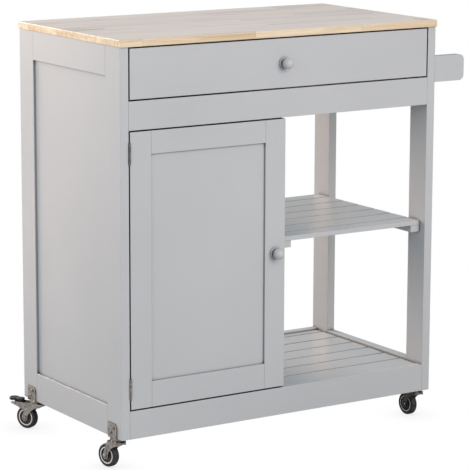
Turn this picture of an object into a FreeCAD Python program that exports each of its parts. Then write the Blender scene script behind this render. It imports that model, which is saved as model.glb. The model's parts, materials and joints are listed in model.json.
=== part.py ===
import FreeCAD, Part
import math
import os

# Kitchen island cart on four swivel casters. Millimetres, +Z up, the front faces -Y.
# It is drawn with X = 0 at the outer face of the left legs, Y = 0 at the front face of
# the legs and Z = 0 on the floor. The export moves it so that the origin is on the floor
# under the middle of the overall box.

# ---- overall sizes
cart_width = 795.0          # across the outer faces of the legs
cart_depth = 430.0          # front face to back face of the legs
cart_height = 900.0         # floor to worktop
top_thick = 15.0
top_over_front = 4.0        # worktop overhang, front and back
top_over_side = 1.5
top_round = 1.5
edge_round = 0.8            # softened edge of every painted board

# ---- legs, side frames and rails
leg_thick = 20.0            # along X
leg_width = 60.0            # along Y
side_top_rail = 62.0        # height of the left upper side rail
side_low_rail = 64.0        # height of both lower side rails
side_panel_thick = 6.0
side_panel_set = 5.5        # how far the side panel sits behind the frame face
groove_deep = 8.0           # panel tongue in its frame
groove_end = 0.5            # play at the bottom of a groove
rail_thick = 20.0           # front and back rails
drawer_rail_tall = 60.0     # rail between drawer and door
base_front_tall = 60.0
base_back_tall = 62.0

# ---- drawer
drawer_front_tall = 104.0
front_gap = 3.0             # gap round the drawer front and the door
front_thick = 18.0          # drawer front and door
box_side_thick = 12.0
box_side_tall = 70.0
box_back_gap = 38.0         # air between the drawer box and the back apron
box_lift = 9.0              # underside of the box above the underside of its front
box_bottom_thick = 4.0
box_bottom_up = 8.0         # drawer bottom above the underside of the sides
box_groove = 5.0

# ---- drawer runners (roller slides)
runner_space = 13.0         # between leg and drawer side
runner_sheet = 1.2
runner_start = 22.0         # front end behind the leg faces
runner_low = 3.0            # channel underside above the underside of the drawer sides
runner_lip = 4.0
roller_radius = 6.5
roller_wide = 6.6
roller_pin = 1.5
roller_run = 0.3            # air between a roller and its track
roller_in = 10.0            # roller axis from the end of its member

# ---- partition, floor, shelf and back of the cabinet
bay_start = 407.0           # right face of the partition from the left leg face
partition_thick = 15.0
floor_thick = 12.0
shelf_thick = 15.0
shelf_under = 400.0         # underside of the loose shelf above the floor
shelf_play = 1.0
shelf_front_set = 40.0
pin_radius = 2.5
pin_out = 8.0
pin_in = 6.0
back_panel_thick = 4.0

# ---- door
door_lap = 4.5              # partition showing beyond the door edge
stile_wide = 50.0
door_top_rail = 48.0
door_low_rail = 55.0
door_panel_thick = 6.0
door_panel_set = 5.0        # panel face behind the frame face

# ---- hinges and magnetic catch
hinge_tall = 46.0
hinge_from_end = 44.0       # hinge middle from the door's end
hinge_barrel = 2.2          # barrel radius
hinge_pin = 1.1
hinge_fit = 0.05
hinge_leaf = 1.2
hinge_leaf_wide = 15.0
knuckle_gap = 0.4
catch_tall = 38.0
catch_wide = 14.0
catch_deep = 15.0
catch_down = 34.0           # top of the catch below the top of the door
strike_thick = 1.2

# ---- knobs
knob_ball = 11.8            # ball radius
knob_middle = 15.0          # ball middle in front of the wood
knob_base = 12.5            # base radius
knob_base_thick = 3.0
knob_neck = 6.0
door_knob_rise = 4.0        # door knob above the middle of the door

# ---- open shelves
slat_thick = 10.0
slat_wide = 56.7
slat_gap = 4.5
slat_end_play = 1.5
middle_top = 454.5          # top of the middle shelf above the floor
middle_inset = 18.0         # middle shelf behind the leg faces, front and back
middle_batten_wide = 25.0
middle_batten_tall = 15.0
bottom_drop = 1.5           # slat tops below the top of the front base rail
bottom_batten = 20.0

# ---- towel rail
arm_out = 80.0
arm_thick = 18.0
arm_tall = 57.0
arm_under = 763.0
arm_round = 12.0
bar_radius = 10.0
bar_from_tip = 25.0
bar_socket = 10.0

# ---- casters
wheel_radius = 25.0
wheel_wide = 15.0
tyre_deep = 6.5             # tyre section height
tyre_round = 3.5
wheel_headroom = 19.0       # top of the wheel to the end of the leg
caster_inset = 37.0         # swivel axis from the front or back leg face
caster_trail = 25.0
front_left_turn = 15.0      # how far each caster stands turned, degrees
front_right_turn = 3.0
back_left_turn = 26.0
back_right_turn = 10.0
plate_thick = 2.0
plate_wide = 36.0
plate_tall = 31.0           # side plate above the end of the leg
plate_corner = 10.0
plate_corner_back = 3.0
race_outer = 15.0
race_tall = 4.0
race_gap = 0.3
head_ring = 13.0
head_ring_tall = 2.9
kingpin = 4.0
running_fit = 0.05
fork_sheet = 1.6
fork_top_sheet = 2.2
fork_play = 0.4             # hub boss to fork, each side
hub_boss_out = 1.5          # boss beyond the tyre, each side
hub_boss = 6.0
hub_web = 4.5               # half width of the hub web
fork_boss = 7.5
fork_back = 18.0            # back edge of the fork head behind the swivel axis
fork_skirt = 8.0
axle_radius = 3.0
axle_head = 4.6
axle_head_thick = 2.2
nose_out = 23.0             # fork nose ahead of the swivel axis
nose_half = 3.0
screw_radius = 1.8
screw_head = 3.4
screw_head_tall = 1.6
screw_long = 14.0

# ---- brake pedal of the back casters: a rocker with a pad on each side of its pivot
pedal_clear = 15.0          # pedal pivot to tyre
pedal_angle = 51.0          # pivot above the axle's level, seen from the axle
pedal_pin = 1.5
pedal_barrel = 3.2
pedal_over = 4.2            # underside of the pads above the pivot
pedal_thick = 6.0
pad_outer = 11.0            # outer pad radius
pad_outer_out = 10.0        # outer pad middle behind the pivot
pad_inner = 9.0
pad_inner_out = -7.5
pad_waist = 6.0
pedal_swing = 7.0           # degrees from free to braked
shoe_half = 1.6
shoe_gap = 0.6              # shoe to tyre with the brake on
tail_out = 11.0             # fork tail behind the pedal pivot

# ---- levels and places that follow
V = FreeCAD.Vector
leg_end = 2 * wheel_radius + wheel_headroom
top_under = cart_height - top_thick
right_in = cart_width - leg_thick
left_in = leg_thick
base_top = leg_end + base_front_tall
drawer_top = top_under - front_gap
drawer_low = drawer_top - drawer_front_tall
drawer_rail_top = drawer_low - front_gap
drawer_rail_low = drawer_rail_top - drawer_rail_tall
door_low = base_top + front_gap
door_top = drawer_rail_low - front_gap
door_left = left_in + front_gap
door_right = bay_start - door_lap
partition_left = bay_start - partition_thick
back_rail_front = cart_depth - rail_thick
back_panel_front = back_rail_front - back_panel_thick
box_under = drawer_low + box_lift
box_back = back_rail_front - box_back_gap
pedal_pivot_back = caster_trail + (wheel_radius + pedal_clear) * math.cos(math.radians(pedal_angle))
pedal_pivot_up = wheel_radius + (wheel_radius + pedal_clear) * math.sin(math.radians(pedal_angle))
nodes = {}


def block(x0, x1, y0, y1, z0, z1):
    return Part.makeBox(x1 - x0, y1 - y0, z1 - z0, V(x0, y0, z0))


def board(x0, x1, y0, y1, z0, z1, radius=edge_round):
    body = block(x0, x1, y0, y1, z0, z1)
    return body.makeFillet(radius, body.Edges)


def rod(x, y, z, axis, radius, length):
    return Part.makeCylinder(radius, length, V(x, y, z), axis)


def prism(points, offset, direction):
    wire = Part.makePolygon([V(*p) + offset for p in points + points[:1]])
    return Part.Face(wire).extrude(direction)


def mirror_x(shape):
    return shape.mirror(V(cart_width / 2, 0, 0), V(1, 0, 0))


def group(shapes):
    return Part.makeCompound(shapes)


# ---- worktop
def worktop():
    return board(
        -top_over_side, cart_width + top_over_side,
        -top_over_front, cart_depth + top_over_front,
        top_under, cart_height, top_round)


# ---- legs and side frames
def side_panel_box(play):
    x0 = side_panel_set
    y0 = leg_width - groove_deep - play
    y1 = cart_depth - leg_width + groove_deep + play
    z0 = leg_end + side_low_rail - groove_deep - play
    z1 = top_under - side_top_rail + groove_deep + play
    return block(x0, x0 + side_panel_thick, y0, y1, z0, z1)


def side_frames():
    front = (0, leg_width)
    back = (cart_depth - leg_width, cart_depth)
    groove = side_panel_box(groove_end)
    for end, (y0, y1) in (("front", front), ("back", back)):
        left = board(0, leg_thick, y0, y1, leg_end, top_under).cut(groove)
        nodes["leg_%s_left" % end] = left
        nodes["leg_%s_right" % end] = board(right_in, cart_width, y0, y1, leg_end, top_under)
    y0 = leg_width
    y1 = cart_depth - leg_width
    low_top = leg_end + side_low_rail
    nodes["left_top_rail"] = board(0, leg_thick, y0, y1, top_under - side_top_rail, top_under).cut(groove)
    nodes["left_bottom_rail"] = board(0, leg_thick, y0, y1, leg_end, low_top).cut(groove)
    nodes["left_panel"] = side_panel_box(0)
    nodes["right_top_rail"] = board(right_in, cart_width, y0, y1, drawer_rail_low, top_under)
    nodes["right_bottom_rail"] = board(right_in, cart_width, y0, y1, leg_end, low_top)


# ---- rails between the side frames
def cross_rails():
    x0 = left_in
    x1 = right_in
    nodes["drawer_rail"] = board(x0, x1, 0, rail_thick, drawer_rail_low, drawer_rail_top)
    nodes["base_rail_front"] = board(x0, x1, 0, rail_thick, leg_end, base_top)
    nodes["base_rail_back"] = board(x0, x1, back_rail_front, cart_depth, leg_end, leg_end + base_back_tall)
    nodes["back_apron"] = board(x0, x1, back_rail_front, cart_depth, drawer_rail_low, top_under)


# ---- cabinet behind the door
def cabinet():
    nodes["partition"] = board(partition_left, bay_start, rail_thick, back_panel_front, leg_end, drawer_rail_top)
    nodes["back_panel"] = block(left_in, bay_start, back_panel_front, back_rail_front, leg_end, drawer_rail_top)
    nodes["cabinet_floor"] = board(
        left_in, partition_left, rail_thick, back_panel_front, base_top - floor_thick, base_top)
    shelf_front = rail_thick + shelf_front_set
    shelf_back = back_panel_front - shelf_play
    nodes["cabinet_shelf"] = board(
        left_in + shelf_play, partition_left - shelf_play, shelf_front, shelf_back,
        shelf_under, shelf_under + shelf_thick)
    pins = []
    z = shelf_under - pin_radius
    for y in (leg_width / 2 + shelf_front / 2, cart_depth - leg_width / 2 - rail_thick):
        pins.append(rod(left_in - pin_in, y, z, V(1, 0, 0), pin_radius, pin_in + pin_out))
        pins.append(rod(partition_left + pin_in, y, z, V(-1, 0, 0), pin_radius, pin_in + pin_out))
    nodes["shelf_pins"] = group(pins)
    for name in ("leg_front_left", "leg_back_left", "partition"):
        nodes[name] = nodes[name].cut(nodes["shelf_pins"])


# ---- open bay: two slatted shelves on battens
def slats(first, front, back, x0, x1, top):
    strips = []
    y = first
    while y < back:
        y0 = max(y, front)
        y1 = min(y + slat_wide, back)
        if y1 - y0 > 4 * edge_round:
            strips.append(board(x0, x1, y0, y1, top - slat_thick, top))
        y += slat_wide + slat_gap
    return group(strips)


def open_shelves():
    front = middle_inset
    back = cart_depth - middle_inset
    pitch = slat_wide + slat_gap
    whole_each_side = math.ceil((back - front) / 2 / pitch)
    first = cart_depth / 2 - slat_wide / 2 - whole_each_side * pitch
    nodes["middle_shelf_slats"] = slats(first, front, back, bay_start, right_in, middle_top)
    z1 = middle_top - slat_thick
    z0 = z1 - middle_batten_tall
    battens = [board(bay_start, bay_start + middle_batten_wide, rail_thick, back_rail_front, z0, z1)]
    battens.append(board(right_in - middle_batten_wide, right_in, front, back, z0, z1))
    top = base_top - bottom_drop
    first = rail_thick + slat_end_play
    nodes["bottom_shelf_slats"] = slats(
        first, first, back_rail_front, bay_start + slat_end_play, right_in - slat_end_play, top)
    z1 = top - slat_thick
    z0 = z1 - bottom_batten
    battens.append(board(bay_start, bay_start + bottom_batten, rail_thick, back_rail_front, z0, z1))
    battens.append(board(right_in - bottom_batten, right_in, rail_thick, back_rail_front, z0, z1))
    nodes["shelf_battens"] = group(battens)


# ---- drawer
def knob(x, z):
    base = rod(x, 0, z, V(0, -1, 0), knob_base, knob_base_thick)
    base = base.makeFillet(knob_base_thick / 3, [e for e in base.Edges if e.BoundBox.YMax < -knob_base_thick / 2])
    neck = rod(x, -knob_base_thick / 2, z, V(0, -1, 0), knob_neck, knob_middle - knob_base_thick / 2)
    return base.fuse([neck, Part.makeSphere(knob_ball, V(x, -knob_middle, z))]).removeSplitter()


def drawer():
    x0 = left_in + runner_space
    x1 = right_in - runner_space
    in0 = x0 + box_side_thick
    in1 = x1 - box_side_thick
    y0 = front_thick
    z1 = box_under + box_side_tall
    bottom_z = box_under + box_bottom_up
    inner_back = box_back - box_side_thick
    bottom = block(
        in0 - box_groove, in1 + box_groove, y0 - box_groove, inner_back + box_groove,
        bottom_z, bottom_z + box_bottom_thick)
    front = board(left_in + front_gap, right_in - front_gap, 0, front_thick, drawer_low, drawer_top)
    nodes["drawer_front"] = front.cut(bottom)
    nodes["drawer_side_left"] = board(x0, in0, y0, box_back, box_under, z1).cut(bottom)
    nodes["drawer_side_right"] = board(in1, x1, y0, box_back, box_under, z1).cut(bottom)
    nodes["drawer_back"] = board(in0, in1, inner_back, box_back, box_under, z1).cut(bottom)
    nodes["drawer_bottom"] = bottom
    nodes["drawer_knob"] = knob(cart_width / 2, (drawer_low + drawer_top) / 2)


# ---- roller slides: a channel on the cabinet, a flanged strip on the drawer
def runners():
    sheet = runner_sheet
    z0 = box_under + runner_low
    y0 = runner_start
    y1 = box_back
    x_leg = left_in
    x_box = left_in + runner_space
    lip_x = x_box - 2 * sheet - 0.8
    roller_z = z0 + sheet + roller_run + roller_radius
    front_y = y0 + roller_in
    back_y = y1 - roller_in
    roller_x = x_leg + sheet + 0.6
    flange_z = roller_z + roller_radius + roller_run
    roof_z = flange_z + sheet + 2 * roller_run
    web = block(x_leg, x_leg + sheet, y0, y1, z0, roof_z + sheet)
    floor = block(x_leg, lip_x + sheet, y0, y1, z0, z0 + sheet)
    lip = block(lip_x, lip_x + sheet, y0 + 2 * roller_in, y1, z0, z0 + runner_lip)
    roof = block(x_leg, lip_x, y0 + 2 * roller_in, y1, roof_z, roof_z + sheet)
    across = V(1, 0, 0)
    front_pin = rod(x_leg + sheet / 2, front_y, roller_z, across, roller_pin, roller_wide + 1.6)
    channel = web.fuse([floor, lip, roof, front_pin]).removeSplitter()
    strip = block(x_box - sheet, x_box, y0 - 2, y1, box_under, flange_z + sheet)
    flange = block(roller_x - 0.2, x_box, y0 - 2, y1, flange_z, flange_z + sheet)
    back_pin = rod(x_box - sheet / 2, back_y, roller_z, V(-1, 0, 0), roller_pin, x_box - roller_x - sheet / 2)
    member = strip.fuse([flange, back_pin]).removeSplitter()
    wheels = {}
    for name, y in (("front", front_y), ("back", back_y)):
        wheel = rod(roller_x, y, roller_z, across, roller_radius, roller_wide)
        bore = rod(roller_x - 1, y, roller_z, across, roller_pin + running_fit, roller_wide + 2)
        wheels[name] = wheel.makeFillet(0.6, wheel.Edges[:1] + wheel.Edges[2:3]).cut(bore)
    nodes["runner_channels"] = group([channel, mirror_x(channel)])
    nodes["drawer_slides"] = group([member, mirror_x(member)])
    nodes["front_rollers"] = group([wheels["front"], mirror_x(wheels["front"])])
    nodes["back_rollers"] = group([wheels["back"], mirror_x(wheels["back"])])


# ---- door: frame and recessed panel
def door():
    x2 = door_left + stile_wide
    x3 = door_right - stile_wide
    z2 = door_low + door_low_rail
    z3 = door_top - door_top_rail
    y0 = door_panel_set
    y1 = door_panel_set + door_panel_thick

    def panel(play):
        reach = groove_deep + play
        return block(x2 - reach, x3 + reach, y0, y1, z2 - reach, z3 + reach)

    groove = panel(groove_end)
    nodes["door_stile_left"] = board(door_left, x2, 0, front_thick, door_low, door_top).cut(groove)
    nodes["door_stile_right"] = board(x3, door_right, 0, front_thick, door_low, door_top).cut(groove)
    nodes["door_rail_top"] = board(x2, x3, 0, front_thick, z3, door_top).cut(groove)
    nodes["door_rail_bottom"] = board(x2, x3, 0, front_thick, door_low, z2).cut(groove)
    nodes["door_panel"] = panel(0)
    knob_x = door_right - stile_wide / 2
    nodes["door_knob"] = knob(knob_x, (door_low + door_top) / 2 + door_knob_rise)


# ---- butt hinges: barrel in front of the gap, one leaf on the leg, one on the door
def hinge_axis():
    return left_in + front_gap / 2, -hinge_barrel


def hinge(z_low):
    x, y = hinge_axis()
    third = hinge_tall / 3
    clear = hinge_barrel + knuckle_gap
    leg_leaf = block(left_in, left_in + hinge_leaf, y, hinge_leaf_wide, z_low, z_low + hinge_tall)
    door_leaf = block(door_left - hinge_leaf, door_left, y, hinge_leaf_wide, z_low, z_low + hinge_tall)
    leg_parts = []
    bore = rod(x, y, z_low - 1, V(0, 0, 1), hinge_pin + hinge_fit, hinge_tall + 2)
    for z in (z_low, z_low + 2 * third):
        leg_parts.append(rod(x, y, z, V(0, 0, 1), hinge_barrel, third - knuckle_gap / 2))
        door_leaf = door_leaf.cut(rod(x, y, z - knuckle_gap, V(0, 0, 1), clear, third + 2 * knuckle_gap))
    leg_parts[1].translate(V(0, 0, knuckle_gap / 2))
    middle = z_low + third
    leg_leaf = leg_leaf.cut(rod(x, y, middle - knuckle_gap, V(0, 0, 1), clear, third + 2 * knuckle_gap))
    knuckle = rod(x, y, middle + knuckle_gap / 2, V(0, 0, 1), hinge_barrel, third - knuckle_gap)
    leg_side = leg_leaf.fuse(leg_parts).cut(bore).removeSplitter()
    pin = rod(x, y, z_low, V(0, 0, 1), hinge_pin, hinge_tall)
    door_side = door_leaf.fuse([knuckle, pin]).removeSplitter()
    return leg_side, door_side


def hinges_and_catch():
    low = hinge(door_low + hinge_from_end - hinge_tall / 2)
    high = hinge(door_top - hinge_from_end - hinge_tall / 2)
    nodes["hinge_leaves_leg"] = group([low[0], high[0]])
    nodes["hinge_leaves_door"] = group([low[1], high[1]])
    z1 = door_top - catch_down
    z0 = z1 - catch_tall
    x0 = partition_left - catch_wide
    y0 = front_thick + strike_thick + 0.5
    nodes["door_catch"] = board(x0, partition_left, y0, y0 + catch_deep, z0, z1)
    nodes["door_strike"] = block(
        x0, partition_left, front_thick, front_thick + strike_thick, z0 + front_gap, z1 - front_gap)


# ---- towel rail on the right side
def towel_rail():
    z0 = arm_under
    z1 = arm_under + arm_tall
    x1 = cart_width + arm_out
    tip_edges = []
    arms = []
    bar_x = x1 - bar_from_tip
    bar_z = arm_under + arm_tall / 2
    bar_y0 = arm_thick - bar_socket
    bar_y1 = cart_depth - arm_thick + bar_socket
    bar = rod(bar_x, bar_y0, bar_z, V(0, 1, 0), bar_radius, bar_y1 - bar_y0)
    for y0 in (0, cart_depth - arm_thick):
        arm = block(cart_width, x1, y0, y0 + arm_thick, z0, z1)
        tip_edges = [e for e in arm.Edges if e.BoundBox.XMin > x1 - 1 and e.BoundBox.YLength > 1]
        arm = arm.makeFillet(arm_round, tip_edges)
        arm = arm.makeFillet(edge_round, arm.Edges)
        arms.append(arm.cut(bar))
    nodes["towel_arms"] = group(arms)
    nodes["towel_bar"] = bar


# ---- casters, drawn about the swivel axis with the plate on the -X side
fork_top = leg_end - plate_thick - race_tall - race_gap - head_ring_tall
fork_in = wheel_wide / 2 + hub_boss_out + fork_play
fork_out = fork_in + fork_sheet


def caster_bracket():
    half = plate_wide / 2
    x_leg = -leg_thick / 2
    z0 = leg_end - plate_thick
    side = block(x_leg - plate_thick, x_leg, -half, half, z0, leg_end + plate_tall)
    for y, radius in ((-half, plate_corner), (half, plate_corner_back)):
        top = leg_end + plate_tall
        corner = [e for e in side.Edges if e.BoundBox.ZMin > top - 1 and abs(e.BoundBox.Center.y - y) < 0.1]
        side = side.makeFillet(radius, [e for e in corner if e.BoundBox.XLength > 1])
    flat = block(x_leg - plate_thick, race_outer + 1, -half, half, z0, leg_end)
    race = rod(0, 0, z0 - race_tall, V(0, 0, 1), race_outer, race_tall)
    race = race.makeFillet(1.2, [e for e in race.Edges if e.BoundBox.ZMax < z0 - 1 and e.Length > 10])
    under = fork_top - fork_top_sheet - race_gap
    pin = rod(0, 0, under, V(0, 0, 1), kingpin, z0 - under)
    rivet = rod(0, 0, under, V(0, 0, -1), kingpin + 3, 2.5)
    rivet = rivet.makeFillet(1.2, [e for e in rivet.Edges if e.BoundBox.ZMax < under - 1 and e.Length > 10])
    return side.fuse([flat, race, pin, rivet]).removeSplitter()


def screw_places():
    return ((-4.0, plate_tall * 0.68), (4.0, plate_tall * 0.3))


def bracket_screw(y, up):
    x = -leg_thick / 2 - plate_thick
    z = leg_end + up
    head = rod(x, y, z, V(-1, 0, 0), screw_head, screw_head_tall)
    head = head.makeFillet(screw_head_tall * 0.6, [e for e in head.Edges if e.BoundBox.XMax < x - 0.5])
    slot = block(x - screw_head_tall, x - 0.7, y - 2.2, y + 2.2, z - 0.4, z + 0.4)
    shank = rod(x, y, z, V(1, 0, 0), screw_radius, screw_long)
    return head.fuse(shank).cut(slot).cut(slot.rotate(V(x, y, z), V(1, 0, 0), 90))


def fork_side(x, braked):
    front = -race_outer
    boss = V(x, caster_trail, wheel_radius)

    def rim(angle):
        return boss + V(0, fork_boss * math.cos(math.radians(angle)), fork_boss * math.sin(math.radians(angle)))

    a = V(x, front, fork_top)
    b = V(x, fork_back, fork_top)
    c = V(x, front, fork_top - fork_skirt)
    hollow = V(x, caster_trail * 0.3, fork_top - 2.2 * fork_skirt)
    edges = [
        Part.LineSegment(a, b).toShape(),
        Part.LineSegment(b, rim(20)).toShape(),
        Part.Arc(rim(20), rim(-75), rim(170)).toShape(),
        Part.Arc(rim(170), hollow, c).toShape(),
        Part.LineSegment(c, a).toShape(),
    ]
    plate = Part.Face(Part.Wire(edges)).extrude(V(fork_sheet, 0, 0))
    if braked:
        y = pedal_pivot_back
        z = pedal_pivot_up
        top = z + pedal_barrel
        tail = prism(
            [(x, 0, fork_top), (x, y, top), (x, y + tail_out, z + 1), (x, y + tail_out, z - 2),
             (x, y - 2, z - 6), (x, fork_back, fork_top - 2.5 * fork_skirt), (x, 0, fork_top - fork_skirt)],
            V(0, 0, 0), V(fork_sheet, 0, 0))
        plate = plate.fuse(tail)
    return plate


def nose_prism(inset, low, high):
    half = fork_out - inset
    tip = nose_half - inset
    front = -nose_out + inset
    return prism(
        [(-half, -race_outer, low), (half, -race_outer, low), (tip, front, low), (-tip, front, low)],
        V(0, 0, 0), V(0, 0, high - low))


def caster_fork(braked):
    top = block(-fork_out, fork_out, -race_outer, fork_back, fork_top - fork_top_sheet, fork_top)
    nose = nose_prism(0, fork_top - fork_skirt, fork_top)
    nose = nose.cut(nose_prism(fork_sheet, fork_top - fork_skirt - 1, fork_top - fork_top_sheet))
    low = fork_top - 2 * fork_skirt
    under = prism(
        [(-fork_out, -race_outer, fork_top - fork_skirt), (-fork_out, -nose_out, fork_top - fork_top_sheet),
         (-fork_out, -nose_out, low), (-fork_out, -race_outer, low)],
        V(0, 0, 0), V(2 * fork_out, 0, 0))
    nose = nose.cut(under)
    ring = rod(0, 0, fork_top, V(0, 0, 1), head_ring, head_ring_tall)
    ring = ring.makeFillet(1.2, [e for e in ring.Edges if e.BoundBox.ZMin > fork_top + 1 and e.Length > 10])
    sides = [fork_side(-fork_out, braked), fork_side(fork_in, braked)]
    if braked:
        sides.append(rod(-fork_out, pedal_pivot_back, pedal_pivot_up, V(1, 0, 0), pedal_pin, 2 * fork_out))
    hole = rod(0, 0, fork_top - 10, V(0, 0, 1), kingpin + running_fit, 20)
    fork = top.fuse([nose, ring] + sides).cut(hole).removeSplitter()
    axle = rod(-fork_out, caster_trail, wheel_radius, V(1, 0, 0), axle_radius, 2 * fork_out)
    heads = []
    for way in (-1, 1):
        head = rod(way * fork_out, caster_trail, wheel_radius, V(way, 0, 0), axle_head, axle_head_thick)
        outer = [e for e in head.Edges if abs(e.BoundBox.Center.x) > fork_out + axle_head_thick - 0.1]
        heads.append(head.makeFillet(axle_head_thick * 0.4, outer))
    return fork.fuse([axle] + heads).removeSplitter()


def caster_tyre():
    half = wheel_wide / 2
    ring = rod(-half, caster_trail, wheel_radius, V(1, 0, 0), wheel_radius, wheel_wide)
    ring = ring.makeFillet(tyre_round, [e for e in ring.Edges if e.BoundBox.XLength < 1])
    return ring.cut(rod(-half, caster_trail, wheel_radius, V(1, 0, 0), wheel_radius - tyre_deep, wheel_wide))


def caster_hub():
    def disc(half, radius):
        return rod(-half, caster_trail, wheel_radius, V(1, 0, 0), radius, 2 * half)

    rim_out = wheel_radius - tyre_deep
    rim = disc(wheel_wide / 2 - 1, rim_out).cut(disc(wheel_wide / 2, rim_out - 3))
    boss = disc(wheel_wide / 2 + hub_boss_out, hub_boss)
    hub = rim.fuse([disc(hub_web, rim_out - 2), boss])
    return hub.cut(disc(wheel_wide, axle_radius + running_fit)).removeSplitter()


def brake_pedal():
    y = pedal_pivot_back
    z = pedal_pivot_up
    half = fork_in - fork_play
    low = z + pedal_over
    barrel = rod(-half, y, z, V(1, 0, 0), pedal_barrel, 2 * half)
    neck = block(-half + 1, half - 1, y - pedal_barrel, y + pedal_barrel, z, low + 1)
    waist = block(-pad_waist, pad_waist, y + pad_inner_out, y + pad_outer_out, low, low + pedal_thick)
    pads = []
    for out, radius in ((pad_outer_out, pad_outer), (pad_inner_out, pad_inner)):
        pad = rod(0, y + out, low, V(0, 0, 1), radius, pedal_thick)
        pads.append(pad.makeFillet(1.5, [e for e in pad.Edges if e.BoundBox.ZLength < 1]))
    bore = rod(-fork_out, y, z, V(1, 0, 0), pedal_pin + running_fit, 2 * fork_out)
    shoe_tip = z - pedal_clear + shoe_gap
    shoe = block(-hub_web, hub_web, y - shoe_half, y + shoe_half, shoe_tip, z)
    shoe.rotate(V(0, y, z), V(1, 0, 0), pedal_angle - 90 + pedal_swing)
    return barrel.fuse([neck, waist, shoe] + pads).cut(bore).removeSplitter()


caster_turns = {
    "front_left": front_left_turn, "front_right": front_right_turn,
    "back_left": back_left_turn, "back_right": back_right_turn}


def place(shape, end, side):
    moved = shape.copy()
    y = caster_inset if end == "front" else cart_depth - caster_inset
    moved.translate(V(leg_thick / 2, y, 0))
    return moved if side == "left" else mirror_x(moved)


def place_turned(shape, end, side):
    y = caster_inset if end == "front" else cart_depth - caster_inset
    x = leg_thick / 2 if side == "left" else cart_width - leg_thick / 2
    moved = shape.copy()
    moved.rotate(V(0, 0, 0), V(0, 0, 1), caster_turns[end + "_" + side])
    moved.translate(V(x, y, 0))
    return moved


def casters():
    brackets = []
    screws = []
    for end in ("front", "back"):
        for side in ("left", "right"):
            name = "%s_%s" % (end, side)
            loose = [bracket_screw(y, up) for y, up in screw_places()]
            placed = [place(s, end, side) for s in loose]
            screws += placed
            brackets.append(place(caster_bracket(), end, side).cut(placed))
            nodes["leg_" + name] = nodes["leg_" + name].cut(placed)
            nodes["caster_fork_" + name] = place_turned(caster_fork(end == "back"), end, side)
            nodes["caster_tyre_" + name] = place_turned(caster_tyre(), end, side)
            nodes["caster_hub_" + name] = place_turned(caster_hub(), end, side)
            if end == "back":
                nodes["brake_pedal_" + side] = place_turned(brake_pedal(), end, side)
    nodes["caster_brackets"] = group(brackets)
    nodes["caster_screws"] = group(screws)


# ---- where the origin goes: on the floor, under the middle of the overall box
def origin():
    whole = FreeCAD.BoundBox()
    for shape in nodes.values():
        whole.add(shape.optimalBoundingBox(False))
    return V(whole.Center.x, whole.Center.y, 0)


def build():
    nodes["top_board"] = worktop()
    side_frames()
    cross_rails()
    cabinet()
    open_shelves()
    drawer()
    runners()
    door()
    hinges_and_catch()
    towel_rail()
    casters()


build()
os.makedirs("parts", exist_ok=True)
shift = origin()
for node_name, node_shape in nodes.items():
    out = node_shape.copy()
    out.translate(V(-shift.x, -shift.y, 0))
    out.exportStep("parts/%s.step" % node_name)
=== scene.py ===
import json
import math
import bpy
import bmesh
from mathutils import Euler, Matrix, Vector


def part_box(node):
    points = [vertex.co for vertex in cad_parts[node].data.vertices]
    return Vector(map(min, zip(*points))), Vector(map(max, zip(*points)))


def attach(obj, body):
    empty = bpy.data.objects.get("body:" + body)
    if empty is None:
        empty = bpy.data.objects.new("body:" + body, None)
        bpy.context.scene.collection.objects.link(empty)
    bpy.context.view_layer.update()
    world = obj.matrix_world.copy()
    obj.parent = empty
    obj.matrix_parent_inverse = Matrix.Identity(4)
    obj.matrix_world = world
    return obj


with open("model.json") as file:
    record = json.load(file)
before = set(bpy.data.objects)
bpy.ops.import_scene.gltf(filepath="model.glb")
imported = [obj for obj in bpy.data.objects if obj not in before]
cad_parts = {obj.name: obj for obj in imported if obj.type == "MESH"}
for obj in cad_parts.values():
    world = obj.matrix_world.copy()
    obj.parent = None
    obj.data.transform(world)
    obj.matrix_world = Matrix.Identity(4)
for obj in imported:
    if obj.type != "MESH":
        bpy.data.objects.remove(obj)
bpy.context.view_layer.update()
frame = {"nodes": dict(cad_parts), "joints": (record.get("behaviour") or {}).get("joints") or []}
nodes = frame["nodes"]
joints = {j["name"]: j for j in frame["joints"]}
print("frame loaded:", len(nodes), "nodes")


# material helpers: a node, a link, and a place in the tree for each
def addNode(tree, kind, at, values=None, **settings):
    node = tree.nodes.new(kind)
    node.location = at
    for key, value in settings.items():
        setattr(node, key, value)
    for key, value in (values or {}).items():
        node.inputs[key].default_value = value
    return node


def startMaterial(name, shaderValues):
    material = bpy.data.materials.new(name)
    material.use_nodes = True
    tree = material.node_tree
    tree.nodes.clear()
    output = addNode(tree, "ShaderNodeOutputMaterial", (900, 0))
    shader = addNode(tree, "ShaderNodeBsdfPrincipled", (600, 0), shaderValues)
    tree.links.new(shader.outputs["BSDF"], output.inputs["Surface"])
    return material, tree, shader


def stretchedPlace(tree, scale, at=(-1400, 0)):
    place = addNode(tree, "ShaderNodeTexCoord", at)
    mapping = addNode(tree, "ShaderNodeMapping", (at[0] + 200, at[1]), {"Scale": scale})
    tree.links.new(place.outputs["Object"], mapping.inputs["Vector"])
    return mapping.outputs["Vector"]


def noiseNode(tree, vector, at, scale, detail=3.0, roughness=0.5, distortion=0.0):
    values = {"Scale": scale, "Detail": detail, "Roughness": roughness, "Distortion": distortion}
    noise = addNode(tree, "ShaderNodeTexNoise", at, values)
    tree.links.new(vector, noise.inputs["Vector"])
    return noise.outputs["Fac"]


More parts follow.
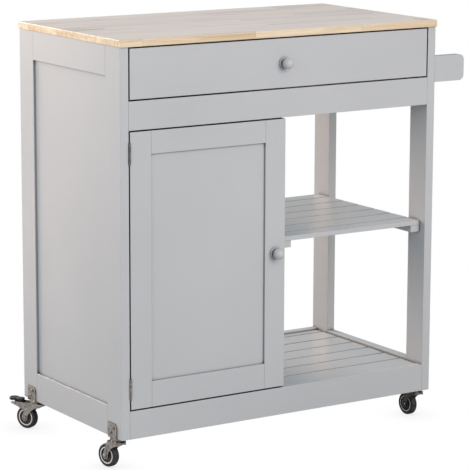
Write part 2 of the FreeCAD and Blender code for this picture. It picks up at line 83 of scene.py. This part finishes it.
def rampNode(tree, factor, at, stops):
    ramp = addNode(tree, "ShaderNodeValToRGB", at)
    ramp.color_ramp.elements[0].position = stops[0][0]
    ramp.color_ramp.elements[0].color = (*stops[0][1], 1)
    ramp.color_ramp.elements[1].position = stops[-1][0]
    ramp.color_ramp.elements[1].color = (*stops[-1][1], 1)
    for place, colour in stops[1:-1]:
        ramp.color_ramp.elements.new(place).color = (*colour, 1)
    tree.links.new(factor, ramp.inputs["Fac"])
    return ramp.outputs["Color"]


def spreadNode(tree, factor, at, low, high, fromLow=0.3, fromHigh=0.7):
    spread = addNode(tree, "ShaderNodeMapRange", at, {
        "From Min": fromLow, "From Max": fromHigh, "To Min": low, "To Max": high})
    tree.links.new(factor, spread.inputs["Value"])
    return spread.outputs["Result"]


def mixColours(tree, factor, first, second, at, blend="MIX"):
    mix = addNode(tree, "ShaderNodeMix", at, data_type="RGBA", blend_type=blend)
    for value, socket in ((factor, 0), (first, 6), (second, 7)):
        if isinstance(value, bpy.types.NodeSocket):
            tree.links.new(value, mix.inputs[socket])
        else:
            mix.inputs[socket].default_value = value if socket == 0 else (*value, 1)
    return mix.outputs[2]


def bumpNode(tree, height, at, strength, distance, below=None):
    bump = addNode(tree, "ShaderNodeBump", at, {"Strength": strength, "Distance": distance})
    tree.links.new(height, bump.inputs["Height"])
    if below is not None:
        tree.links.new(below, bump.inputs["Normal"])
    return bump.outputs["Normal"]


def edgeMask(tree, at, radius, strength):
    # how far a rounded normal leans from the true one, which is only so near an edge
    bevel = addNode(tree, "ShaderNodeBevel", at, {"Radius": radius}, samples=6)
    flat = addNode(tree, "ShaderNodeNewGeometry", (at[0], at[1] - 200))
    dot = addNode(tree, "ShaderNodeVectorMath", (at[0] + 200, at[1]), operation="DOT_PRODUCT")
    tree.links.new(bevel.outputs["Normal"], dot.inputs[0])
    tree.links.new(flat.outputs["Normal"], dot.inputs[1])
    mask = addNode(tree, "ShaderNodeMapRange", (at[0] + 400, at[1]), {
        "From Min": 0.995, "From Max": 0.75, "To Min": 0.0, "To Max": strength})
    tree.links.new(dot.outputs["Value"], mask.inputs["Value"])
    return mask.outputs["Result"]


def cornerShade(tree, at, reach, closed, clear, strength):
    # painted shade: the colour is darkened where other faces stand close, in gaps, seams and the corners
    # of recesses, where shade falls
    closeness = addNode(tree, "ShaderNodeAmbientOcclusion", at, {"Distance": reach}, samples=8)
    return spreadNode(tree, closeness.outputs["AO"], (at[0] + 200, at[1]), strength, 0.0, closed, clear)


# grey satin paint over wood: the grain shows faintly through it, along each board; edges get a painted
# highlight and gaps and corners a painted shade
paint = {
    "colour": (0.505, 0.507, 0.515),
    "shade": (0.470, 0.472, 0.480),
    "gap": (0.020, 0.019, 0.018),
    "gapReach": 0.014,
    "edge": (0.66, 0.66, 0.66),
    "edgeRadius": 0.0012,
    "edgeHighlightStrength": 0.55,
    "streak": 0.35,
    "alongScale": 5.0,
    "acrossScale": 150.0,
    "cloudScale": 2.6,
    "peelScale": 700.0,
    "roughness": (0.34, 0.46),
    "grainBump": 0.10,
    "peelBump": 0.05,
}


def paintMaterial(name, axis):
    material, tree, shader = startMaterial(name, {
        "Specular IOR Level": 0.45, "Coat Weight": 0.12, "Coat Roughness": 0.25})
    scale = [paint["acrossScale"]] * 3
    scale[axis] = paint["alongScale"]
    grain = noiseNode(tree, stretchedPlace(tree, scale), (-900, 0), 1.0, 4.0, 0.6, 0.3)
    plain = stretchedPlace(tree, (1, 1, 1), (-1400, -400))
    clouds = noiseNode(tree, plain, (-900, -250), paint["cloudScale"], 2.0)
    peel = noiseNode(tree, plain, (-900, -500), paint["peelScale"], 2.0)
    cloudy = spreadNode(tree, clouds, (-650, -250), 0, 1)
    tone = mixColours(tree, cloudy, paint["colour"], paint["shade"], (-400, 100))
    streak = spreadNode(tree, grain, (-650, 0), 0.0, paint["streak"], 0.55, 0.8)
    tone = mixColours(tree, streak, tone, paint["shade"], (-200, 100))
    # painted highlight: rounded edges lightened towards the edge colour, as where they catch the light
    edge = edgeMask(tree, (-900, 500), paint["edgeRadius"], paint["edgeHighlightStrength"])
    tone = mixColours(tree, edge, tone, paint["edge"], (100, 200))
    # painted shade: gaps, seams and recess corners darkened to near black
    dark = cornerShade(tree, (-100, 500), paint["gapReach"], 0.22, 0.80, 1.0)
    tone = mixColours(tree, dark, tone, paint["gap"], (300, 300))
    tree.links.new(tone, shader.inputs["Base Color"])
    dullness = spreadNode(tree, clouds, (100, -150), *paint["roughness"])
    tree.links.new(dullness, shader.inputs["Roughness"])
    bump = bumpNode(tree, grain, (100, -350), paint["grainBump"], 0.0005)
    bump = bumpNode(tree, peel, (350, -350), paint["peelBump"], 0.0003, bump)
    tree.links.new(bump, shader.inputs["Normal"])
    return material


paintX = paintMaterial("greyPaintAcross", 0)
paintY = paintMaterial("greyPaintDeep", 1)
paintZ = paintMaterial("greyPaintUpright", 2)

# worktop: finger-jointed staves of pale hardwood that run the long way, under clear satin lacquer
staves = {
    "honey": [(0.0, (0.50, 0.35, 0.20)), (0.45, (0.70, 0.54, 0.36)), (1.0, (0.84, 0.72, 0.55))],
    # top: colours for the upward face, paler and less yellow, a painted reflection of the bright
    # surroundings
    "top": [(0.0, (0.560, 0.385, 0.300)), (0.45, (0.870, 0.680, 0.570)), (1.0, (0.960, 0.800, 0.700))],
    "length": 0.34,
    "width": 0.042,
    "joint": 0.0004,
    "jointColour": (0.30, 0.20, 0.12),
    "poreColour": (0.33, 0.22, 0.13),
    "shift": (7.3, 3.1, 5.7),
    "roughness": (0.26, 0.40),
    "grainBump": 0.10,
}


def staveMaterial():
    material, tree, shader = startMaterial("worktopStaves", {
        "Specular IOR Level": 0.5, "Coat Weight": 0.25, "Coat Roughness": 0.16})
    place = addNode(tree, "ShaderNodeTexCoord", (-1700, 0))
    bricks = addNode(tree, "ShaderNodeTexBrick", (-1300, 300), {
        "Color1": (0, 0, 0, 1), "Color2": (1, 1, 1, 1), "Mortar": (0.5, 0.5, 0.5, 1), "Scale": 1.0,
        "Mortar Size": staves["joint"], "Mortar Smooth": 0.1, "Bias": 0.0,
        "Brick Width": staves["length"], "Row Height": staves["width"]},
        offset=0.37, offset_frequency=2, squash=0.8, squash_frequency=3)
    tree.links.new(place.outputs["Object"], bricks.inputs["Vector"])
    separate = addNode(tree, "ShaderNodeSeparateColor", (-1100, 300))
    tree.links.new(bricks.outputs["Color"], separate.inputs["Color"])
    # each stave's grain starts somewhere else
    shift = addNode(
        tree, "ShaderNodeVectorMath", (-1100, 0), {1: staves["shift"]}, operation="MULTIPLY_ADD")
    tree.links.new(bricks.outputs["Color"], shift.inputs[0])
    tree.links.new(place.outputs["Object"], shift.inputs[2])
    mapping = addNode(tree, "ShaderNodeMapping", (-900, 0), {"Scale": (3.2, 90.0, 90.0)})
    tree.links.new(shift.outputs["Vector"], mapping.inputs["Vector"])
    grain = noiseNode(tree, mapping.outputs["Vector"], (-700, 0), 1.0, 5.0, 0.62, 0.9)
    pores = addNode(tree, "ShaderNodeMapping", (-900, -300), {"Scale": (30.0, 900.0, 900.0)})
    tree.links.new(shift.outputs["Vector"], pores.inputs["Vector"])
    poreNoise = noiseNode(tree, pores.outputs["Vector"], (-700, -300), 1.0, 2.0, 0.5)
    toned = addNode(tree, "ShaderNodeMath", (-450, 200), {1: 0.34}, operation="MULTIPLY_ADD")
    tree.links.new(separate.outputs["Red"], toned.inputs[0])
    tree.links.new(spreadNode(tree, grain, (-650, 200), 0.0, 0.72, 0.32, 0.68), toned.inputs[2])
    honey = rampNode(tree, toned.outputs["Value"], (-250, 350), staves["honey"])
    top = rampNode(tree, toned.outputs["Value"], (-250, 100), staves["top"])
    # painted reflection: the upward face is painted paler and less yellow than the edges, standing in
    # for the bright surroundings reflected in the lacquer; the grain on it is the wood's own
    geometry = addNode(tree, "ShaderNodeNewGeometry", (-450, -150))
    axes = addNode(tree, "ShaderNodeSeparateXYZ", (-250, -150))
    tree.links.new(geometry.outputs["Normal"], axes.inputs["Vector"])
    paintedSheenOnTop = spreadNode(tree, axes.outputs["Z"], (-50, -150), 0, 1, 0.75, 0.95)
    wood = mixColours(tree, paintedSheenOnTop, honey, top, (100, 250))
    poreShade = spreadNode(tree, poreNoise, (-450, -350), 0.0, 0.22, 0.62, 0.8)
    wood = mixColours(tree, poreShade, wood, staves["poreColour"], (300, 250))
    jointShade = spreadNode(tree, bricks.outputs["Fac"], (100, 480), 0, 0.35, 0, 1)
    wood = mixColours(tree, jointShade, wood, staves["jointColour"], (450, 350))
    tree.links.new(wood, shader.inputs["Base Color"])
    dullness = spreadNode(tree, grain, (300, -100), *staves["roughness"])
    tree.links.new(dullness, shader.inputs["Roughness"])
    bump = bumpNode(tree, grain, (300, -300), staves["grainBump"], 0.0004)
    tree.links.new(bump, shader.inputs["Normal"])
    return material


worktopWood = staveMaterial()

# unpainted inner boards: drawer box, drawer bottom and back panel
innerBoard = {
    "stops": [(0.25, (0.40, 0.35, 0.29)), (0.55, (0.47, 0.42, 0.36)), (0.8, (0.52, 0.475, 0.415))],
    "roughness": (0.5, 0.65),
    "acrossScale": 70.0,
    "alongScale": 2.4,
    "grainBump": 0.12,
}


def innerMaterial(name, axis):
    material, tree, shader = startMaterial(name, {"Specular IOR Level": 0.35})
    scale = [innerBoard["acrossScale"]] * 3
    scale[axis] = innerBoard["alongScale"]
    grain = noiseNode(tree, stretchedPlace(tree, scale), (-900, 0), 1.0, 5.0, 0.6, 0.8)
    tree.links.new(rampNode(tree, grain, (-400, 100), innerBoard["stops"]), shader.inputs["Base Color"])
    dullness = spreadNode(tree, grain, (-400, -150), *innerBoard["roughness"])
    tree.links.new(dullness, shader.inputs["Roughness"])
    bump = bumpNode(tree, grain, (300, -300), innerBoard["grainBump"], 0.0004)
    tree.links.new(bump, shader.inputs["Normal"])
    return material


innerX = innerMaterial("innerBoardAcross", 0)
innerY = innerMaterial("innerBoardDeep", 1)
innerZ = innerMaterial("innerBoardUpright", 2)

# bright zinc plate: fine rolling marks, cloudy roughness and tone, and painted shade darkening it in
# gaps and corners
zinc = {
    "colour": (0.54, 0.51, 0.475),
    "dull": (0.17, 0.155, 0.145),
    "gap": (0.02, 0.018, 0.016),
    "gapReach": 0.010,
    "roughness": (0.12, 0.30),
}


def zincMaterial():
    material, tree, shader = startMaterial("zincPlate", {"Metallic": 1.0})
    plain = stretchedPlace(tree, (1, 1, 1))
    clouds = noiseNode(tree, plain, (-900, 0), 160.0, 3.0)
    marks = noiseNode(tree, stretchedPlace(tree, (900, 900, 60), (-1400, -300)), (-900, -300), 1.0, 2.0)
    cloudy = spreadNode(tree, clouds, (-650, 0), 0, 1)
    tone = mixColours(tree, cloudy, zinc["colour"], zinc["dull"], (-300, 100))
    # painted shade: gaps and corners of the zinc darkened
    dark = cornerShade(tree, (-300, 400), zinc["gapReach"], 0.2, 0.9, 0.95)
    tone = mixColours(tree, dark, tone, zinc["gap"], (100, 200))
    tree.links.new(tone, shader.inputs["Base Color"])
    dullness = spreadNode(tree, clouds, (-300, -150), *zinc["roughness"])
    tree.links.new(dullness, shader.inputs["Roughness"])
    tree.links.new(bumpNode(tree, marks, (300, -300), 0.08, 0.0002), shader.inputs["Normal"])
    return material


zincPlate = zincMaterial()


# moulded plastics and rubber: a fine texture, dust and rubbed places on a base colour
moulded = {  # colour, colour where rubbed, roughness, scale of the fine texture, its height
    "tyreRubber": ((0.022, 0.020, 0.019), (0.060, 0.054, 0.050), (0.45, 0.65), 1500.0, 0.25),
    "hubPlastic": ((0.050, 0.038, 0.034), (0.085, 0.068, 0.060), (0.35, 0.5), 1100.0, 0.15),
    "ringPlastic": ((0.92, 0.90, 0.87), (0.80, 0.78, 0.75), (0.35, 0.5), 1100.0, 0.1),
    "pedalPlastic": ((0.020, 0.018, 0.017), (0.050, 0.045, 0.042), (0.35, 0.55), 1300.0, 0.3),
    "rollerNylon": ((0.78, 0.78, 0.74), (0.66, 0.66, 0.62), (0.4, 0.55), 1000.0, 0.1),
    "catchPlastic": ((0.80, 0.80, 0.78), (0.70, 0.70, 0.68), (0.4, 0.55), 1000.0, 0.15),
}


def mouldedMaterial(name):
    colour, rubbed, roughness, grain, height = moulded[name]
    material, tree, shader = startMaterial(name, {"Specular IOR Level": 0.4})
    plain = stretchedPlace(tree, (1, 1, 1))
    patches = noiseNode(tree, plain, (-900, 0), 90.0, 4.0, 0.6)
    fine = noiseNode(tree, plain, (-900, -300), grain, 2.0)
    patchy = spreadNode(tree, patches, (-650, 0), 0, 1, 0.4, 0.75)
    tree.links.new(mixColours(tree, patchy, colour, rubbed, (-300, 100)), shader.inputs["Base Color"])
    dullness = spreadNode(tree, patches, (-300, -150), *roughness)
    tree.links.new(dullness, shader.inputs["Roughness"])
    tree.links.new(bumpNode(tree, fine, (300, -300), height, 0.0003), shader.inputs["Normal"])
    return material


tyreRubber = mouldedMaterial("tyreRubber")
hubPlastic = mouldedMaterial("hubPlastic")
ringPlastic = mouldedMaterial("ringPlastic")
pedalPlastic = mouldedMaterial("pedalPlastic")
rollerNylon = mouldedMaterial("rollerNylon")
catchPlastic = mouldedMaterial("catchPlastic")
print("materials made")


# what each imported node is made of
def dress(name, material):
    mesh = nodes[name].data
    mesh.materials.clear()
    mesh.materials.append(material)


boardsAcross = [
    "drawer_rail", "base_rail_front", "base_rail_back", "back_apron", "cabinet_floor", "cabinet_shelf",
    "middle_shelf_slats", "bottom_shelf_slats", "drawer_front", "door_rail_top", "door_rail_bottom",
    "drawer_knob", "door_knob", "towel_arms",
]
boardsDeep = [
    "left_top_rail", "left_bottom_rail", "right_top_rail", "right_bottom_rail",
    "shelf_battens", "towel_bar",
]
boardsUpright = [
    "leg_front_left", "leg_back_left", "leg_front_right", "leg_back_right", "left_panel", "partition",
    "door_stile_left", "door_stile_right", "door_panel",
]
metalPieces = [
    "hinge_leaves_leg", "hinge_leaves_door", "runner_channels", "drawer_slides", "shelf_pins",
    "door_strike", "caster_brackets", "caster_screws",
]
for names, material in ((boardsAcross, paintX), (boardsDeep, paintY), (boardsUpright, paintZ)):
    for name in names:
        dress(name, material)
dress("top_board", worktopWood)
dress("back_panel", innerZ)
dress("drawer_back", innerX)
dress("drawer_bottom", innerX)
dress("drawer_side_left", innerY)
dress("drawer_side_right", innerY)
for name in metalPieces:
    dress(name, zincPlate)
for name in ("front_rollers", "back_rollers"):
    dress(name, rollerNylon)
dress("door_catch", catchPlastic)
corners = ("front_left", "front_right", "back_left", "back_right")
for corner in corners:
    dress("caster_fork_" + corner, zincPlate)
    dress("caster_hub_" + corner, hubPlastic)
    dress("caster_tyre_" + corner, tyreRubber)
for side in ("left", "right"):
    dress("brake_pedal_" + side, pedalPlastic)
print("packed nodes dressed")

# a pale ring let into each face of a wheel, turned as one rounded bead
ring = {"inner": 0.0158, "outer": 0.0183, "low": 0.0060, "high": 0.0074, "round": 0.0005, "steps": 72}


def beadProfile():
    points = []
    corner = ring["round"]
    top = ring["high"] - corner
    for start, r in ((180, ring["inner"] + corner), (90, ring["outer"] - corner)):
        for k in range(5):
            angle = math.radians(start - 22.5 * k)
            points.append((r + corner * math.cos(angle), top + corner * math.sin(angle)))
    return [(ring["inner"], ring["low"])] + points + [(ring["outer"], ring["low"])]


def makeWheelRings(corner):
    joint = joints["wheel_spin_" + corner]
    facing = Vector(joint["axis"]).normalized().to_track_quat("Z", "Y")
    place = Matrix.Translation(Vector(joint["pos_m"])) @ facing.to_matrix().to_4x4()
    profile = beadProfile()
    form = bmesh.new()
    for side in (1, -1):
        loops = []
        for k in range(ring["steps"]):
            turn = 2 * math.pi * k / ring["steps"]
            points = [Vector((r * math.cos(turn), r * math.sin(turn), side * h)) for r, h in profile]
            loops.append([form.verts.new(place @ point) for point in points])
        for k, loop in enumerate(loops):
            following = loops[(k + 1) % len(loops)]
            for j in range(len(profile)):
                after = (j + 1) % len(profile)
                form.faces.new((loop[j], following[j], following[after], loop[after]))
    bmesh.ops.recalc_face_normals(form, faces=form.faces)
    mesh = bpy.data.meshes.new("wheel_rings_" + corner)
    form.to_mesh(mesh)
    form.free()
    mesh.shade_smooth()
    mesh.materials.append(ringPlastic)
    piece = bpy.data.objects.new("wheel_rings_" + corner, mesh)
    bpy.context.scene.collection.objects.link(piece)
    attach(piece, "wheel_" + corner)


for corner in corners:
    makeWheelRings(corner)
print("wheel rings turned")

# floor, light and camera
floor = {
    "size": 80.0,
    "colour": (0.50, 0.50, 0.50),
    "seen": (1, 1, 1),
    "shadow": (0.80, 0.80, 0.81),
    "shadowReach": 0.07,
}
light = {
    "sky": (0.43, 0.515, 0.57),
    "softboxes": {  # place, what it faces, size, power, colour
        "farLeft": ((-3.0, -1.2, 1.7), (0, 0, 0.45), 2.2, 11.0, (0.55, 0.80, 1.0)),
        "farFront": ((0.6, -3.8, 1.9), (0, 0, 0.45), 2.6, 82.0, (1.0, 0.87, 0.81)),
        "nearFront": ((-0.1, -1.9, 1.9), (0, 0, 0.5), 1.2, 7.2, (0.97, 1.0, 0.97)),
        "farBack": ((-1.0, 3.2, 1.55), (0.1, 0, 0.5), 1.6, 141.0, (1.0, 0.82, 0.70)),
        "lowLeft": ((-1.18, 0.15, 0.88), (-0.4, 0.05, 0.75), 0.4, 3.3, (1.0, 0.85, 0.76)),
    },
}
view = {
    "fromCorner": (-2.37270, -4.11058, 1.42731),  # from the outer front corner of the left front leg
    "heading": 32.80,  # degrees
    "pitch": 11.018,
    "roll": 0.20,
    "sensor": 36,  # mm
    "focal": 182.0413,
}


def makeFloor():
    mesh = bpy.data.meshes.new("floor")
    half = floor["size"] / 2
    rim = [(-half, -half, 0), (half, -half, 0), (half, half, 0), (-half, half, 0)]
    mesh.from_pydata(rim, [], [(0, 1, 2, 3)])
    thing = bpy.data.objects.new("floor", mesh)
    bpy.context.scene.collection.objects.link(thing)
    material, tree, shader = startMaterial("paleFloor", {"Roughness": 0.9, "Specular IOR Level": 0.1})
    clouds = noiseNode(tree, stretchedPlace(tree, (1, 1, 1)), (-900, 0), 3.0)
    lighter = [c + 0.01 for c in floor["colour"]]
    tone = mixColours(tree, clouds, floor["colour"], lighter, (-400, 0))
    tree.links.new(tone, shader.inputs["Base Color"])
    # looked at from anywhere it is a lit white sweep, with a soft shadow round the wheels
    shade = cornerShade(tree, (-400, 400), floor["shadowReach"], 0.25, 0.98, 1.0)
    white = addNode(tree, "ShaderNodeEmission", (300, 300), {"Strength": 1.0})
    glow = mixColours(tree, shade, floor["seen"], floor["shadow"], (0, 300))
    tree.links.new(glow, white.inputs["Color"])
    seen = addNode(tree, "ShaderNodeLightPath", (300, 600))
    mix = addNode(tree, "ShaderNodeMixShader", (750, 200))
    surface = shader.outputs["BSDF"].links[0].to_socket
    tree.links.new(seen.outputs["Is Camera Ray"], mix.inputs["Fac"])
    tree.links.new(shader.outputs["BSDF"], mix.inputs[1])
    tree.links.new(white.outputs["Emission"], mix.inputs[2])
    tree.links.new(mix.outputs["Shader"], surface)
    mesh.materials.append(material)


def makeWorld():
    world = bpy.data.worlds.new("studio")
    bpy.context.scene.world = world
    world.use_nodes = True
    tree = world.node_tree
    tree.nodes.clear()
    output = addNode(tree, "ShaderNodeOutputWorld", (400, 0))
    sky = addNode(tree, "ShaderNodeBackground", (0, 100), {"Color": (*light["sky"], 1), "Strength": 1.0})
    white = addNode(tree, "ShaderNodeBackground", (0, -100), {"Color": (1, 1, 1, 1), "Strength": 1.0})
    seen = addNode(tree, "ShaderNodeLightPath", (0, 350))
    mix = addNode(tree, "ShaderNodeMixShader", (200, 0))
    tree.links.new(seen.outputs["Is Camera Ray"], mix.inputs["Fac"])
    tree.links.new(sky.outputs["Background"], mix.inputs[1])
    tree.links.new(white.outputs["Background"], mix.inputs[2])
    tree.links.new(mix.outputs["Shader"], output.inputs["Surface"])


def makeSoftbox(name, place, target, size, power, colour):
    data = bpy.data.lights.new(name, "AREA")
    data.shape = "SQUARE"
    data.size = size
    data.energy = power
    data.color = colour
    thing = bpy.data.objects.new(name, data)
    thing.location = place
    thing.rotation_euler = (Vector(target) - Vector(place)).to_track_quat("-Z", "Y").to_euler()
    thing.visible_camera = False
    bpy.context.scene.collection.objects.link(thing)


def makeCamera():
    data = bpy.data.cameras.new("camera")
    data.sensor_width = view["sensor"]
    data.lens = view["focal"]
    data.clip_end = 200
    thing = bpy.data.objects.new("camera", data)
    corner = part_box("leg_front_left")[0]
    across, back, up = view["fromCorner"]
    thing.location = (corner[0] + across, corner[1] + back, up)
    turn = Euler((math.radians(90 - view["pitch"]), 0, math.radians(-view["heading"]))).to_matrix()
    turn = turn @ Matrix.Rotation(math.radians(view["roll"]), 3, "Z")
    thing.rotation_euler = turn.to_euler()
    bpy.context.scene.collection.objects.link(thing)
    bpy.context.scene.camera = thing


makeFloor()
makeWorld()
for name, softbox in light["softboxes"].items():
    makeSoftbox(name, *softbox)
makeCamera()
bpy.context.scene.view_settings.view_transform = "Standard"
print("floor, lights and camera placed")
